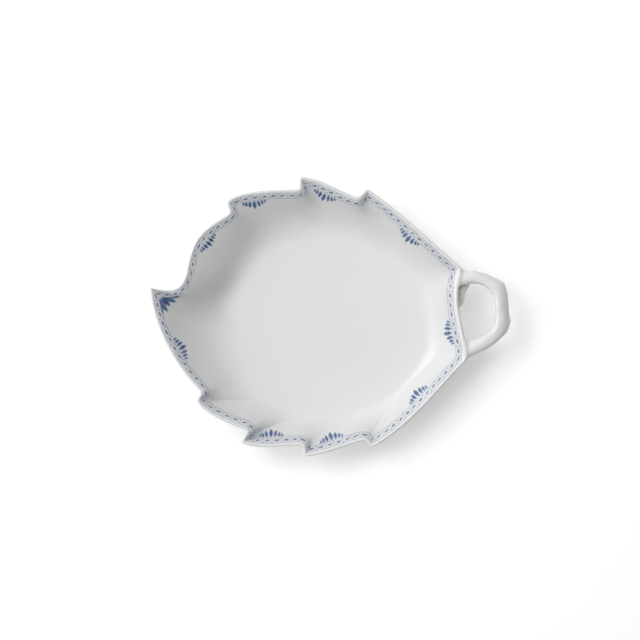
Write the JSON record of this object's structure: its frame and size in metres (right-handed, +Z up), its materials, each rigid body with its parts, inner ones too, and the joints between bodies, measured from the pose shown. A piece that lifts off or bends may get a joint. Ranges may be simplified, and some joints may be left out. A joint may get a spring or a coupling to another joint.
{
  "type": "leaf shaped plate",
  "caption": "Shallow leaf shaped porcelain dish with a toothed rim, folded walls, a foot ring and a twig loop handle, for serving sweets, nuts or fruit.",
  "frame": {"origin": "on the table, below the middle of the dish's bounding box", "axes": "+X from the leaf's hooked apex towards the twig handle, +Y to the side that is uppermost in the picture, +Z up"},
  "size_m": [0.2307, 0.179, 0.0419],
  "materials": {
    "bowl_glaze": "clear gloss glaze over white porcelain, with a blue painted border",
    "foot_porcelain": "glazed sides, bare ground standing edge",
    "handle_glaze": "clear gloss glaze over white porcelain"
  },
  "bodies": {
    "root": {"leaf_bowl": "bowl_glaze", "foot_ring": "foot_porcelain", "twig_handle": "handle_glaze"}
  },
  "joints": []
}
